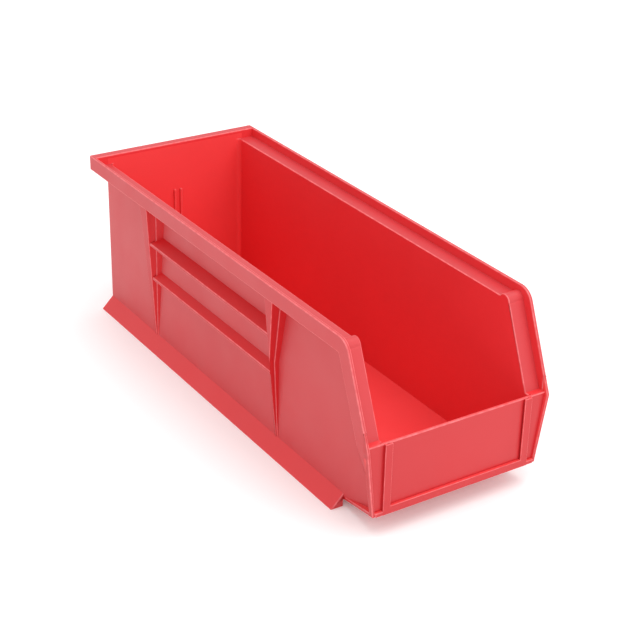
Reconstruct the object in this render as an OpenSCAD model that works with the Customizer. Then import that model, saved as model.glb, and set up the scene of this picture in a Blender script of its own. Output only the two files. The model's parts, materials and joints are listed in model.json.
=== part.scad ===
// Stack-and-hang storage bin with a hopper front, as one thin-walled moulding
// divided into its functional regions.
// Frame: origin in the middle of the footprint on the resting plane, +Z up,
// the hopper opening faces -Y, the hanging lip is at +Y, +X is the right side
// of someone looking in through the hopper.

/* [Outside size] */
// Overall length, front to back (mm)
bin_length = 374.65; // [340:1:410]
// Overall width across the rim (mm)
bin_width = 139.7; // [135:0.5:160]
// Overall height (mm)
bin_height = 127; // [120:1:150]

/* [Shell] */
// Thickness of the walls and the floor (mm)
wall_t = 2.2; // [2:0.1:2.6]
// Clear width between the side walls (mm)
cavity_w = 112; // [108:0.5:113]
// Radius of the upright corners inside the back of the bin (mm)
inside_r = 3; // [2:0.5:5]
// Gap under the floor plate (mm)
floor_clear = 3.4; // [3:0.1:4.5]
// Clear distance from the back wall to the outer face of the hanging lip (mm)
lip_depth = 7.3; // [6.5:0.1:8]
// Clearance for a louvre between the back wall and the hanging lip (mm)
louvre_gap = 3; // [2:0.1:3.2]

/* [Rim] */
// Height of the stacking ledge below the rim's top (mm)
ledge_drop = 6.7; // [5:0.1:8]
// Thickness of the ledge plate (mm)
ledge_t = 2.3; // [2:0.1:2.6]
// Height of the outside band (mm)
band_h = 11.2; // [10.5:0.1:11.8]
// Thickness of the outside band (mm)
band_t = 2.25; // [2:0.05:2.6]
// Radius of the rim where it turns down the hopper (mm)
rim_corner_r = 12; // [12:0.5:14]
// Height of the stop that keeps a stacked bin from sliding forward (mm)
stop_rise = 2.5; // [1.5:0.1:3]

/* [Hopper front] */
// Height of the front corner, where the sloping rim ends (mm)
front_corner_h = 63.5; // [60:0.5:70]
// Height of the front wall's top edge (mm)
front_wall_h = 65; // [62:0.5:66]
// How far the sloping rim leans back over its height (mm)
hopper_setback = 26.6; // [22:0.1:30]
// Height of the bottom edge of the front wall (mm)
front_base_h = 15; // [13:0.5:16]
// Length of the ramp that joins the floor to the front wall (mm)
ramp_len = 41; // [36:1:48]
// Width across the front wall's bottom edge (mm)
front_base_w = 126.8; // [124:0.2:130]

/* [Ribs] */
// Top of the upper cross rib at its outer edge (mm)
upper_rib_z = 88; // [82:0.5:90]
// Top of the lower cross rib at its outer edge (mm)
lower_rib_z = 59.5; // [54:0.5:64]
// How far the upright ribs stand out under the rim (mm)
rib_out_top = 10.4; // [9:0.1:10.8]
// How far the upright ribs stand out at the foot (mm)
rib_out_foot = 0.9; // [0.6:0.1:1.5]
// Height of the guide ribs for a lengthwise divider (mm)
guide_h = 89; // [60:1:100]

/* [Foot] */
// Width across the outer edges of the foot rails (mm)
foot_w = 135.2; // [130:0.2:135.2]
// Height at which a foot rail meets the side wall (mm)
foot_h = 9.5; // [8:0.1:11]
// Distance from the front of the bin to the front end of the rails (mm)
foot_setback = 40.3; // [38:0.1:46]

/* [Hidden] */
$fn = 64;

outer_skin = "#d94a50";
inner_skin = "#cf2a30";
front_skin = "#e0575a";

half_l = bin_length / 2;
half_w = bin_width / 2;
wall_in = cavity_w / 2;
wall_out = wall_in + wall_t;
band_in = half_w - band_t;
floor_top = floor_clear + wall_t;
ledge_z = bin_height - ledge_drop;

back_in = half_l - lip_depth;
back_wall_t = 2.2;
back_out = back_in + back_wall_t;
lip_in = back_out + louvre_gap;
top_plate_t = 2.4;

// The front wall and the label frame in front of it, both behind the corner strips.
panel_in = half_l - 4.8;
panel_out = panel_in + wall_t;
frame_out = half_l - 0.6;
frame_half_w = 56.2;
frame_side = 5.4;
frame_foot = 5.4;
card_gap = 0.9;
card_edge = 3.8;
strip_w = 2;
corner_lip_h = 3;
// How far the strips lean back from the front corner down to the base.
strip_lean = 1.2;

// The sloping rim: its lean from the vertical and its unit normal.
lean = atan(hopper_setback / (bin_height - front_corner_h));
rim_centre_y = -half_l + hopper_setback + rim_corner_r * (1 - sin(lean)) / cos(lean);
rim_centre_z = bin_height - rim_corner_r;

// The stop is a round bump whose front runs tangentially into the sloping ledge.
stop_r = 5;
stop_z = ledge_z + stop_rise - stop_r;
stop_y = slope_y(stop_z, ledge_drop) + stop_r / cos(lean);

// Y of the sloping rim line at height z, when the line is moved inward by drop.
function slope_y(z, drop) =
  let (r = rim_corner_r - drop)
  rim_centre_y - r * cos(lean) + (z - rim_centre_z - r * sin(lean)) * tan(lean);

ramp_back_y = -panel_in + ramp_len;
ramp_rise = front_base_h - floor_clear;

foot_front_y = -half_l + foot_setback;
foot_lean = atan(foot_h / (foot_w / 2 - wall_out));
foot_t = 2.2;

// The upright ribs: where each front face meets the wall, how far the face leans
// forward by the rim, how far it slants back and where the rib's back face is.
rear_rib_y = 103.4;
rear_creep = 14.8;
rear_slant = 0.8;
rear_rib_back = rear_rib_y + 4.6;
front_rib_y = -68;
front_creep = 11.5;
front_slant = 0.25;
front_bend_z = 66;
front_rib_back = front_rib_y + 2.5;
rib_step = 1.2;
rib_top_z = ledge_z - ledge_t;
cross_edge_t = 2;
guide_w = 1.5;
guide_pitch = 5.2;
guide_out = 2;
cut = 200;

// A shape drawn as (Y, Z) points and given a thickness from x0 to x1.
module side_prism(x0, x1)
  translate([x0, 0, 0])
    rotate([90, 0, 90])
      linear_extrude(x1 - x0)
        children();

// A shape drawn as (X, Z) points and given a thickness from y0 to y1.
module front_prism(y0, y1)
  translate([0, y1, 0])
    rotate([90, 0, 0])
      linear_extrude(y1 - y0)
        children();

// side is 1 for the right half and -1 for its mirror image on the left.
module on_side(side)
  mirror([side < 0 ? 1 : 0, 0, 0])
    children();

// Everything under the rim line when that line is moved inward by drop.
module under_rim(drop) {
  r = rim_corner_r - drop;
  tangent = [rim_centre_y - r * cos(lean), rim_centre_z + r * sin(lean)];
  run = half_l + tangent[0];
  foot_y = -half_l + strip_lean * front_corner_h / (front_corner_h - front_base_h);
  polygon([
    [half_l, 0],
    [half_l, bin_height - drop],
    [rim_centre_y, bin_height - drop],
    tangent,
    [-half_l, tangent[1] - run / tan(lean)],
    [foot_y, 0]
  ]);
  translate([rim_centre_y, rim_centre_z])
    circle(r = r);
}

module window(y0, y1, z0, z1)
  translate([y0, z0])
    square([y1 - y0, z1 - z0]);

// Everything above the floor plate and the ramp.
module above_floor()
  polygon([
    [half_l, floor_top],
    [ramp_back_y, floor_top],
    [-panel_in, floor_top + ramp_rise],
    [-half_l, floor_top + ramp_rise],
    [-half_l, bin_height],
    [half_l, bin_height]
  ]);

module floor_plate()
  color(inner_skin)
    translate([-wall_out, ramp_back_y, floor_clear])
      cube([2 * wall_out, back_in - ramp_back_y, wall_t]);

// The ramp's right edge in plan, which flares out to the front wall's width.
ramp_edge = [
  [wall_out, ramp_back_y],
  [wall_out, foot_front_y - 2],
  [front_base_w / 2, -panel_in]
];
ramp_left_edge = [for (i = [len(ramp_edge) - 1:-1:0]) [-ramp_edge[i][0], ramp_edge[i][1]]];

module front_ramp()
  color(front_skin)
    intersection() {
      linear_extrude(cut)
        polygon(concat(ramp_edge, ramp_left_edge));
      side_prism(-half_w, half_w)
        polygon([
          [ramp_back_y, floor_clear],
          [ramp_back_y, floor_top],
          [-panel_in, floor_top + ramp_rise],
          [-panel_in, front_base_h]
        ]);
    }

// A concave fillet up the corner between the back wall and a side wall.
module inside_corner(height)
  translate([wall_in - inside_r, back_in - inside_r, floor_top])
    difference() {
      cube([inside_r, inside_r, height]);
      translate([0, 0, -1])
        cylinder(r = inside_r, h = height + 2);
    }

module back_wall()
  color(inner_skin) {
    translate([-wall_out, back_in, floor_clear])
      cube([2 * wall_out, back_wall_t, bin_height - top_plate_t - floor_clear]);
    for (side = [-1, 1])
      on_side(side)
        inside_corner(ledge_z - floor_top);
  }

module side_wall(side)
  color(outer_skin)
    on_side(side)
      side_prism(wall_in, wall_out)
        intersection() {
          under_rim(ledge_drop + ledge_t);
          above_floor();
          window(-panel_in, back_in, 0, bin_height);
        }

module front_wall()
  color(front_skin)
    translate([-wall_out, -panel_out, front_base_h])
      cube([2 * wall_out, panel_out - panel_in, front_wall_h - front_base_h]);

module stop_round()
  translate([stop_y, stop_z])
    circle(r = stop_r);

// A stepped rim: a ledge that the next bin's feet stand on, inside an upright band.
module stacking_rim(side)
  color(outer_skin)
    on_side(side) {
      intersection() {
        side_prism(band_in, half_w)
          difference() {
            intersection() {
              under_rim(0);
              window(-panel_in, half_l, front_base_h, bin_height);
            }
            under_rim(band_h);
          }
        front_prism(-half_l, half_l)
          corner_outline(0);
      }
      side_prism(wall_in, band_in)
        difference() {
          intersection() {
            under_rim(ledge_drop);
            window(-panel_in, back_in, 0, bin_height);
          }
          under_rim(ledge_drop + ledge_t);
          stop_round();
        }
      side_prism(wall_in, band_in)
        difference() {
          window(-panel_in, rim_centre_y, front_wall_h - 10, front_wall_h);
          under_rim(ledge_drop);
        }
    }

// A rounded bump across the ledge where it turns down the hopper. It takes the
// place of the ledge there, so that the ledge's flat top ends at the bump.
module stack_stop(side)
  color(outer_skin)
    on_side(side)
      side_prism(wall_in, band_in)
        difference() {
          stop_round();
          under_rim(ledge_drop + ledge_t);
        }

// An inverted channel along the back that hooks over a louvre.
module rear_hanging_lip()
  color(outer_skin) {
    translate([-band_in, back_in, bin_height - top_plate_t])
      cube([2 * band_in, half_l - back_in, top_plate_t]);
    translate([-band_in, lip_in, bin_height - band_h])
      cube([2 * band_in, half_l - lip_in, band_h]);
    for (side = [-1, 1])
      on_side(side)
        translate([wall_out, back_in, ledge_z - ledge_t])
          cube([band_in - wall_out, back_wall_t, bin_height - ledge_z + ledge_t - 1]);
  }

// Outline of a front corner, which narrows from the rim down to the base.
module corner_outline(inset, inner_x = wall_out)
  polygon([
    [inner_x, front_base_h],
    [front_base_w / 2 - inset, front_base_h],
    [half_w - inset, front_corner_h],
    [half_w - inset, bin_height],
    [inner_x, bin_height]
  ]);

// The side of the front wall, with a strip along its outer edge that carries
// the rim's band down to the base, and a low lip between that strip and the label frame.
module corner_flange(side)
  color(front_skin)
    on_side(side) {
      intersection() {
        translate([frame_half_w, -frame_out, front_base_h])
          cube([half_w, frame_out - panel_out, corner_lip_h]);
        front_prism(-half_l, -panel_in)
          corner_outline(strip_w, frame_half_w);
      }
      intersection() {
        front_prism(-half_l, -panel_in)
          difference() {
            corner_outline(0);
            corner_outline(strip_w);
          }
        side_prism(0, half_w)
          under_rim(0);
      }
      intersection() {
        front_prism(-panel_out, -panel_in)
          corner_outline(strip_w);
        translate([0, -half_l, 0])
          cube([half_w, half_l, front_wall_h]);
      }
    }

// A three-sided frame, open at the top, that a label card slides into.
module label_holder()
  color(front_skin)
    difference() {
      translate([-frame_half_w, -frame_out, front_base_h])
        cube([2 * frame_half_w, frame_out - panel_out, front_wall_h - front_base_h]);
      translate([-frame_half_w + frame_side, -frame_out - 1, front_base_h + frame_foot])
        cube([2 * (frame_half_w - frame_side), frame_out - panel_out + 2, cut]);
      translate([-frame_half_w + frame_side - card_edge, -panel_out - card_gap,
                 front_base_h + frame_foot])
        cube([2 * (frame_half_w - frame_side + card_edge), card_gap + 1, cut]);
    }

// A splayed skirt that stands on the ledge of the bin below, closed at both ends.
module foot_rail(side)
  color(outer_skin)
    on_side(side) {
      foot_edge = foot_w / 2;
      inner_edge = foot_edge - foot_t / sin(foot_lean);
      inner_top = foot_h - foot_t / cos(foot_lean);
      front_prism(foot_front_y, back_out)
        polygon([
          [wall_out, foot_h],
          [foot_edge, 0],
          [inner_edge, 0],
          [wall_out, inner_top]
        ]);
      for (y = [foot_front_y, back_out - wall_t])
        front_prism(y, y + wall_t)
          polygon([[wall_out, inner_top], [inner_edge, 0], [wall_out, 0]]);
    }

// How far a rib stands out of the wall at height z.
function rib_out(z) =
  rib_out_foot + (rib_out_top - rib_out_foot) * (z - foot_h) / (rib_top_z - foot_h);

// Everything behind the front face of an upright rib. The face meets the wall at
// foot_y up to bend_z and then leans forward by creep at the rim. It slants back
// by slant for each millimetre that it stands out.
module behind_face(foot_y, bend_z, creep, slant)
  multmatrix([
    [1, 0, 0, wall_out],
    [slant, 1, 0, foot_y],
    [0, 0, 1, 0],
    [0, 0, 0, 1]
  ])
    side_prism(-20, 40)
      polygon([
        [0, -20],
        [0, bend_z],
        [-creep, rib_top_z],
        [cut, rib_top_z],
        [cut, -20]
      ]);

// An upright rib: a triangular web under the rim. Its inner half is thicker, which
// leaves a narrow step up the middle of its front face.
module upright_rib(foot_y, bend_z, creep, slant, back_y) {
  intersection() {
    front_prism(foot_y - 30, back_y)
      polygon([
        [wall_out, foot_h],
        [wall_out + rib_out_foot, foot_h],
        [wall_out + rib_out_top, rib_top_z],
        [wall_out, rib_top_z]
      ]);
    behind_face(foot_y + rib_step, bend_z, creep, slant);
  }
  intersection() {
    front_prism(foot_y - 30, back_y)
      polygon([
        [wall_out, foot_h],
        [wall_out + rib_out_foot / 2, foot_h],
        [wall_out + rib_out_top / 2, rib_top_z],
        [wall_out, rib_top_z]
      ]);
    behind_face(foot_y, bend_z, creep, slant);
  }
}

module rear_rib()
  upright_rib(rear_rib_y, foot_h, rear_creep, rear_slant, rear_rib_back);

module front_rib()
  upright_rib(front_rib_y, front_bend_z, front_creep, front_slant, front_rib_back);

module upright_ribs(side)
  color(outer_skin)
    on_side(side) {
      rear_rib();
      front_rib();
    }

// A cross rib between the upright ribs, with a sloped top and a thin outer edge.
module cross_rib(top_z, rise) {
  edge_x = wall_out + rib_out(top_z - cross_edge_t);
  difference() {
    front_prism(front_rib_back, rear_rib_back - 0.6)
      polygon([
        [wall_out, top_z - cross_edge_t],
        [edge_x, top_z - cross_edge_t],
        [edge_x, top_z],
        [wall_out, top_z + rise]
      ]);
    rear_rib();
    behind_face(rear_rib_y, foot_h, rear_creep, rear_slant);
  }
}

module cross_ribs(side)
  color(outer_skin)
    on_side(side) {
      cross_rib(upper_rib_z, 5);
      cross_rib(lower_rib_z, 4.5);
    }

// Two thin ribs up the back wall that hold the end of a lengthwise divider.
module divider_guide_ribs()
  color(inner_skin)
    for (side = [-1, 1])
      translate([side * guide_pitch / 2 - guide_w / 2, back_in - guide_out, floor_top])
        cube([guide_w, guide_out, guide_h - floor_top]);

floor_plate();
front_ramp();
back_wall();
side_wall(-1);  // left_side_wall
side_wall(1);  // right_side_wall
front_wall();
stacking_rim(-1);  // left_stacking_rim
stacking_rim(1);  // right_stacking_rim
stack_stop(-1);  // left_stack_stop
stack_stop(1);  // right_stack_stop
rear_hanging_lip();
corner_flange(-1);  // left_corner_flange
corner_flange(1);  // right_corner_flange
label_holder();
foot_rail(-1);  // left_foot_rail
foot_rail(1);  // right_foot_rail
upright_ribs(-1);  // left_upright_ribs
upright_ribs(1);  // right_upright_ribs
cross_ribs(-1);  // left_cross_ribs
cross_ribs(1);  // right_cross_ribs
divider_guide_ribs();
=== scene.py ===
# Stack-and-hang storage bin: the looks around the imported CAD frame.
# Every CAD region is rebuilt as a moulded piece: the same solid, with a small radius on
# each edge that is open to the air, and a moulded polypropylene material.
import json
import math

import bmesh
import bpy
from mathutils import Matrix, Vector
from mathutils.bvhtree import BVHTree


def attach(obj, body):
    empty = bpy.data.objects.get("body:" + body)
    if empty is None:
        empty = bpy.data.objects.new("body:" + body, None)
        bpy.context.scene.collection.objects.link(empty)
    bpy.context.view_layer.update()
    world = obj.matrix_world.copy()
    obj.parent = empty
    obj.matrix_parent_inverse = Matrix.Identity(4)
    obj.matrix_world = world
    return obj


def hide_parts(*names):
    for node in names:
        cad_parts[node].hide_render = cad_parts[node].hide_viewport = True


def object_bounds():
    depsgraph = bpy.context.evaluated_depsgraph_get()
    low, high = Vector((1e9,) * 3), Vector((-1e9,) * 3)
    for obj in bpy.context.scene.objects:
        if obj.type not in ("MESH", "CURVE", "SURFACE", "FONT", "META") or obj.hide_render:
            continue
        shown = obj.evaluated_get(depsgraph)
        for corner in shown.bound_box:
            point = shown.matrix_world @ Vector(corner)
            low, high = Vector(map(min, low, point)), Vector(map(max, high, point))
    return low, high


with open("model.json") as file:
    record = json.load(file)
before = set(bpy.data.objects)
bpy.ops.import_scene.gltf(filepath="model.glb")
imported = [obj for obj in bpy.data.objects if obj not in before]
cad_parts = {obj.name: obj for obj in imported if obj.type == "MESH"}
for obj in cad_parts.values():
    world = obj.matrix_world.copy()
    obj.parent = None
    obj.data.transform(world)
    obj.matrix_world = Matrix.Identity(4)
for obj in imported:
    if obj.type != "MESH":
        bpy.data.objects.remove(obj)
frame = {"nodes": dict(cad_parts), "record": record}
cad_low, cad_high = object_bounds()
CENTRE = (Vector(cad_low) + Vector(cad_high)) / 2

MM = 0.001
# Points of two regions closer than this are in contact.
TOUCH = 0.1 * MM
# Vertices closer than this are one, which also closes slivers where an arc meets a line.
WELD = 0.005 * MM
# Facets that meet at less than this angle are parts of one flat face.
FLAT = math.radians(0.5)
# Edges are rounded when their faces turn by an angle between these two.
SHARP = math.radians(38)
FEATHER = math.radians(150)
# Shading runs smoothly over edges below this angle.
SMOOTH = math.radians(34)
# A long edge is searched for changes of contact at this spacing, this far from its ends,
# and each change is then halved in on this many times.
CONTACT_SPACING = 2 * MM
CONTACT_LEAST_STEPS = 8
CONTACT_INSET = 0.02
CONTACT_HALVINGS = 12
ROUNDING_SEGMENTS = 3
# The mesh attribute that marks the faces of a rounded edge.
ROUNDED = "rounded"

# Edge radius of each region, in millimetres.
EDGE_RADIUS = {
    "floor_plate": 0.5,
    "front_ramp": 0.5,
    "back_wall": 0.4,
    "side_wall": 0.5,
    "front_wall": 0.8,
    "stacking_rim": 0.7,
    "stack_stop": 0.6,
    "hanging_lip": 0.7,
    "corner_flange": 0.7,
    "label_holder": 0.35,
    "foot_rail": 0.6,
    "upright_ribs": 0.35,
    "cross_ribs": 0.5,
    "guide_ribs": 0.35,
}


# ---------------------------------------------------------------- moulded pieces
def solid_of(node):
    """The CAD node as a bmesh of flat faces, with nothing but its shape."""
    source = frame["nodes"][node].data
    bm = bmesh.new()
    verts = [bm.verts.new(v.co) for v in source.vertices]
    for face in source.polygons:
        corners = [verts[i] for i in face.vertices]
        if bm.faces.get(corners) is None:
            bm.faces.new(corners)
    bmesh.ops.remove_doubles(bm, verts=bm.verts, dist=WELD)
    bmesh.ops.dissolve_limit(bm, angle_limit=FLAT, verts=bm.verts, edges=bm.edges)
    bmesh.ops.recalc_face_normals(bm, faces=bm.faces)
    return bm


def neighbours_of(node):
    """One search tree over the surfaces of every other CAD node."""
    verts, faces = [], []
    for name, other in frame["nodes"].items():
        if name == node:
            continue
        first = len(verts)
        verts += [v.co.copy() for v in other.data.vertices]
        faces += [[first + i for i in p.vertices] for p in other.data.polygons]
    return BVHTree.FromPolygons(verts, faces)


def touches(tree, point):
    """Whether a point lies on one of the surfaces in the search tree."""
    return tree.find_nearest(point, TOUCH)[0] is not None


def contact_changes(tree, edge):
    """Places along an edge, from 0 to 1, where it starts or stops touching a neighbour."""
    a, b = (v.co.copy() for v in edge.verts)
    steps = max(CONTACT_LEAST_STEPS, int((b - a).length / CONTACT_SPACING))
    span = 1 - 2 * CONTACT_INSET
    places = [CONTACT_INSET + span * i / steps for i in range(steps + 1)]
    states = [touches(tree, a.lerp(b, t)) for t in places]
    found = []
    for i in range(steps):
        if states[i] == states[i + 1]:
            continue
        low, high = places[i], places[i + 1]
        for _ in range(CONTACT_HALVINGS):
            middle = (low + high) / 2
            if touches(tree, a.lerp(b, middle)) == states[i]:
                low = middle
            else:
                high = middle
        found.append(middle)
    return found


def is_ridge(edge):
    """A convex edge, but not the feather edge of a region that ends in a tangent."""
    if len(edge.link_faces) != 2 or not edge.is_convex:
        return False
    return SHARP < edge.calc_face_angle() < FEATHER


def split_at_contacts(bm, tree):
    """Cuts every ridge where it starts or stops touching a neighbour."""
    for edge in [e for e in bm.edges if is_ridge(e)]:
        start, rest, used = edge.verts[0], edge, 0.0
        for place in contact_changes(tree, edge):
            share = (place - used) / (1 - used)
            rest, start = bmesh.utils.edge_split(rest, start, share)
            used = place
            rest = next(e for e in start.link_edges if e is not rest and is_ridge(e))


def open_ridges(bm, tree):
    """Convex edges that are open to the air, so not hidden in a joint between regions."""
    return [
        e
        for e in bm.edges
        if is_ridge(e) and not touches(tree, (e.verts[0].co + e.verts[1].co) / 2)
    ]


def moulded(node, radius_mm, material):
    """The piece that takes the place of a CAD node: its solid with rounded open edges."""
    bm = solid_of(node)
    tree = neighbours_of(node)
    split_at_contacts(bm, tree)
    rounded = bm.faces.layers.float.new(ROUNDED)
    made = bmesh.ops.bevel(
        bm,
        geom=open_ridges(bm, tree),
        offset=radius_mm * MM,
        offset_type="OFFSET",
        segments=ROUNDING_SEGMENTS,
        profile=0.5,
        affect="EDGES",
        clamp_overlap=False,
    )
    for face in made["faces"]:
        face[rounded] = 1.0
    mesh = bpy.data.meshes.new(node + "_moulding")
    bm.to_mesh(mesh)
    bm.free()
    mesh.polygons.foreach_set("use_smooth", [True] * len(mesh.polygons))
    mesh.set_sharp_from_angle(angle=SMOOTH)
    mesh.materials.append(material)
    piece = bpy.data.objects.new(node + "_moulding", mesh)
    bpy.context.scene.collection.objects.link(piece)
    normals = piece.modifiers.new("flat_faces", "WEIGHTED_NORMAL")
    normals.keep_sharp = True
    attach(piece, "root")
    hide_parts(node)
    return piece


# ---------------------------------------------------------------- materials
CAVITY_MIDDLE = (0.0, 0.0, 70 * MM)
# The two colour inputs and the colour output of a Mix node.
MIX_FIRST, MIX_SECOND, MIX_RESULT = 6, 7, 2
# The part of a noise texture's range that holds most of its values.
NOISE_LOW, NOISE_HIGH = 0.3, 0.7
# Noise scales, in cells per metre.
DRIFT_SCALE = 9.0
WAVE_SCALE = 26.0
GLOSS_SCALE = 38.0
EDGE_HIGHLIGHT_SCALE = 260.0
GRAIN_SCALE = 2600.0
POLYPROPYLENE_IOR = 1.49


def link(tree, output, socket):
    tree.links.new(output, socket)


def noise(tree, place, scale, detail, roughness=0.5):
    """A noise value from about 0 to 1 at each place."""
    node = tree.nodes.new("ShaderNodeTexNoise")
    node.inputs["Scale"].default_value = scale
    node.inputs["Detail"].default_value = detail
    node.inputs["Roughness"].default_value = roughness
    link(tree, place, node.inputs["Vector"])
    return node.outputs["Fac"]


def remap(tree, value, low, high, out_low, out_high):
    """Carries the range low to high over to the range out_low to out_high."""
    node = tree.nodes.new("ShaderNodeMapRange")
    node.inputs["From Min"].default_value = low
    node.inputs["From Max"].default_value = high
    node.inputs["To Min"].default_value = out_low
    node.inputs["To Max"].default_value = out_high
    link(tree, value, node.inputs["Value"])
    return node.outputs["Result"]


def mix(tree, factor, first, second):
    """Mixes two colours, each given as a socket or as a plain (r, g, b)."""
    node = tree.nodes.new("ShaderNodeMix")
    node.data_type = "RGBA"
    link(tree, factor, node.inputs["Factor"])
    for value, socket in ((first, node.inputs[MIX_FIRST]), (second, node.inputs[MIX_SECOND])):
        if isinstance(value, tuple):
            socket.default_value = value + (1.0,)
        else:
            link(tree, value, socket)
    return node.outputs[MIX_RESULT]


def rounded_edges(tree):
    """A mask that is 1 on the rounded edges, where a paler red is painted on as a highlight."""
    node = tree.nodes.new("ShaderNodeAttribute")
    node.attribute_name = ROUNDED
    return node.outputs["Fac"]


def vector_math(tree, operation, first):
    """A Vector Math node with its first input connected."""
    node = tree.nodes.new("ShaderNodeVectorMath")
    node.operation = operation
    link(tree, first, node.inputs[0])
    return node


def scalar_math(tree, operation, first):
    """A Math node with its first input connected."""
    node = tree.nodes.new("ShaderNodeMath")
    node.operation = operation
    link(tree, first, node.inputs[0])
    return node


def face_direction(tree):
    return tree.nodes.new("ShaderNodeTexCoord").outputs["Normal"]


def faces_outward(tree, place):
    """A mask that is 1 on faces turned away from the middle of the bin's cavity."""
    from_middle = vector_math(tree, "SUBTRACT", place)
    from_middle.inputs[1].default_value = CAVITY_MIDDLE
    dot = vector_math(tree, "DOT_PRODUCT", from_middle.outputs["Vector"])
    link(tree, face_direction(tree), dot.inputs[1])
    return remap(tree, dot.outputs["Value"], -10 * MM, 20 * MM, 0.0, 1.0)


def faces_sideways(tree, place):
    """A mask that is 1 on faces turned to the left or right, wherever they are."""
    parts = tree.nodes.new("ShaderNodeSeparateXYZ")
    link(tree, face_direction(tree), parts.inputs[0])
    size = scalar_math(tree, "ABSOLUTE", parts.outputs["X"])
    return remap(tree, size.outputs[0], 0.82, 0.95, 0.0, 1.0)


def bump(tree, height, strength, distance):
    node = tree.nodes.new("ShaderNodeBump")
    node.inputs["Strength"].default_value = strength
    node.inputs["Distance"].default_value = distance
    link(tree, height, node.inputs["Height"])
    return node


def moulded_plastic(name, colours, roughness, grain, mask=faces_outward, shine=0.5):
    """Coloured polypropylene with a slow colour drift, uneven gloss, a fine grain, shallow
    waves and a painted highlight on the rounded edges. The colours are (outside, inside):
    the first where the mask is 1 and the second elsewhere, lit and shaded copies of one red."""
    material = bpy.data.materials.new(name)
    material.use_nodes = True
    tree = material.node_tree
    shader = tree.nodes["Principled BSDF"]
    place = tree.nodes.new("ShaderNodeTexCoord").outputs["Object"]
    outside, inside = colours

    wander = noise(tree, place, DRIFT_SCALE, 2.0)
    drift = remap(tree, wander, NOISE_LOW, NOISE_HIGH, 0.94, 1.0)
    # Painted sheen and light: masked faces take the outside colour and the rest take the inside
    # colour, two copies of one red that are lit differently.
    body = vector_math(tree, "SCALE", mix(tree, mask(tree, place), inside, outside))
    link(tree, drift, body.inputs["Scale"])
    # Painted highlight: the rounded edges are mixed towards a paler red, at a strength that
    # wanders with noise, in place of the glints along the edges.
    highlight_spread = remap(tree, noise(tree, place, EDGE_HIGHLIGHT_SCALE, 3.0), 0.35, 0.7, 0.35, 0.85)
    edge_highlight = scalar_math(tree, "MULTIPLY", rounded_edges(tree))
    link(tree, highlight_spread, edge_highlight.inputs[1])
    colour = mix(tree, edge_highlight.outputs[0], body.outputs["Vector"], EDGE_HIGHLIGHT_RED)
    link(tree, colour, shader.inputs["Base Color"])

    smudge = noise(tree, place, GLOSS_SCALE, 4.0)
    low, high = roughness - 0.04, roughness + 0.05
    link(tree, remap(tree, smudge, NOISE_LOW, NOISE_HIGH, low, high), shader.inputs["Roughness"])
    shader.inputs["IOR"].default_value = POLYPROPYLENE_IOR
    shader.inputs["Specular IOR Level"].default_value = shine

    fine = bump(tree, noise(tree, place, GRAIN_SCALE, 2.0, 0.6), grain, 0.05 * MM)
    waves = bump(tree, noise(tree, place, WAVE_SCALE, 1.0), 0.25, 0.4 * MM)
    link(tree, fine.outputs["Normal"], waves.inputs["Normal"])
    link(tree, waves.outputs["Normal"], shader.inputs["Normal"])
    return material


# Base colours, as linear red, green and blue.
# Painted sheen: a less saturated red on faces turned outwards, for the pale sheen on the outer
# walls.
OUTSIDE_SHEEN_RED = (0.60, 0.040, 0.047)
# The front panel's outside red, darker and more saturated, without that painted sheen.
PANEL_RED = (0.57, 0.017, 0.022)
# Brighter red for faces towards the cavity, painting in light the cavity lacks.
DEEP_RED = (0.80, 0.035, 0.041)
# Painted shade: deeper, more saturated red for the ribs' front and top faces in the recess.
RIB_SHADE_RED = (0.66, 0.014, 0.018)
# Brighter red for faces towards the cavity, painting in light the cavity lacks.
WARM_RED = (0.88, 0.060, 0.064)
# Painted highlight colour for the rounded edges.
EDGE_HIGHLIGHT_RED = (0.88, 0.20, 0.21)
MATERIALS = {
    "outer_skin": moulded_plastic("moulded_outer_skin", (OUTSIDE_SHEEN_RED, DEEP_RED), 0.42, 0.35),
    "inner_skin": moulded_plastic("moulded_inner_skin", (OUTSIDE_SHEEN_RED, WARM_RED), 0.36, 0.15),
    "front_skin": moulded_plastic("moulded_front_skin", (PANEL_RED, WARM_RED), 0.38, 0.25),
}
# Painted shade: the ribs' front and top faces, down in the recess, get a deeper, more saturated
# red for the shade and red bounce light there; they also have a weaker grain and less shine.
RIB_SKIN = moulded_plastic(
    "moulded_rib_skin", (OUTSIDE_SHEEN_RED, RIB_SHADE_RED), 0.40, 0.15, mask=faces_sideways, shine=0.25
)
RIBS = ("upright_ribs", "cross_ribs")

slots = {part["node"]: part["material_slot"] for part in frame["record"]["subparts"]}
for node in sorted(frame["nodes"]):
    radius = next(r for part, r in EDGE_RADIUS.items() if part in node)
    skin = RIB_SKIN if node.endswith(RIBS) else MATERIALS[slots[node]]
    made = moulded(node, radius, skin)


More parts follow.
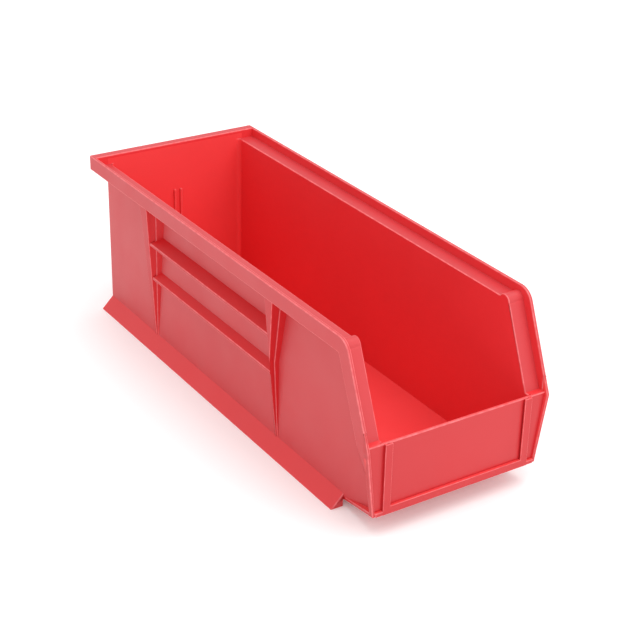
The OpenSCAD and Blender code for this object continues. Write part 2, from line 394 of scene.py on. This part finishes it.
# ---------------------------------------------------------------- studio
def studio_floor(size):
    """A pale square of paper that gives back a little light of its own."""
    bm = bmesh.new()
    bmesh.ops.create_grid(bm, x_segments=1, y_segments=1, size=size / 2)
    mesh = bpy.data.meshes.new("studio_floor")
    bm.to_mesh(mesh)
    bm.free()
    material = bpy.data.materials.new("studio_paper")
    material.use_nodes = True
    shader = material.node_tree.nodes["Principled BSDF"]
    shader.inputs["Base Color"].default_value = (0.93, 0.93, 0.93, 1)
    shader.inputs["Roughness"].default_value = 0.9
    shader.inputs["Emission Color"].default_value = (1, 1, 1, 1)
    shader.inputs["Emission Strength"].default_value = 0.12
    mesh.materials.append(material)
    floor = bpy.data.objects.new("studio_floor", mesh)
    bpy.context.scene.collection.objects.link(floor)


def soft_light(name, place, size, power):
    """A round lamp that points at the object's centre."""
    data = bpy.data.lights.new(name, "AREA")
    data.shape = "DISK"
    data.size = size
    data.energy = power
    lamp = bpy.data.objects.new(name, data)
    lamp.location = place
    lamp.rotation_euler = (CENTRE - Vector(place)).to_track_quat("-Z", "Y").to_euler()
    bpy.context.scene.collection.objects.link(lamp)


def sky(strength):
    """Even white light from all around."""
    world = bpy.data.worlds.new("studio_sky")
    world.use_nodes = True
    background = world.node_tree.nodes["Background"]
    background.inputs["Color"].default_value = (1, 1, 1, 1)
    background.inputs["Strength"].default_value = strength
    bpy.context.scene.world = world


def camera(azimuth, elevation, roll, distance, shift_right, shift_up, lens):
    """Looks past the object's centre from the front left and above. The angles are in
    degrees, the distance and the two shifts in metres and the lens in millimetres."""
    a, e = math.radians(azimuth), math.radians(elevation)
    forward = Vector((math.sin(a) * math.cos(e), math.cos(a) * math.cos(e), -math.sin(e)))
    data = bpy.data.cameras.new("camera")
    data.lens = lens
    data.sensor_width = 36.0
    data.clip_start = 0.01
    shot = bpy.data.objects.new("camera", data)
    turn = forward.to_track_quat("-Z", "Y").to_matrix()
    right, up = turn.col[0].copy(), turn.col[1].copy()
    r = math.radians(roll)
    tilted = (right * math.cos(r) + up * math.sin(r), up * math.cos(r) - right * math.sin(r))
    turn.col[0], turn.col[1] = tilted
    shot.rotation_euler = turn.to_euler()
    shot.location = CENTRE - forward * distance + tilted[0] * shift_right + tilted[1] * shift_up
    bpy.context.scene.collection.objects.link(shot)
    bpy.context.scene.camera = shot


studio_floor(size=8.0)
sky(strength=0.90)
soft_light("top_light", (0.15, -0.3, 1.6), size=1.8, power=14.0)
soft_light("front_fill", (0.35, -1.5, 0.9), size=1.0, power=5.0)
camera(
    azimuth=33.415,
    elevation=26.831,
    roll=1.424,
    distance=1.07546,
    shift_right=0.0146,
    shift_up=-0.0099,
    lens=86.2,
)
bpy.context.scene.view_settings.view_transform = "Standard"
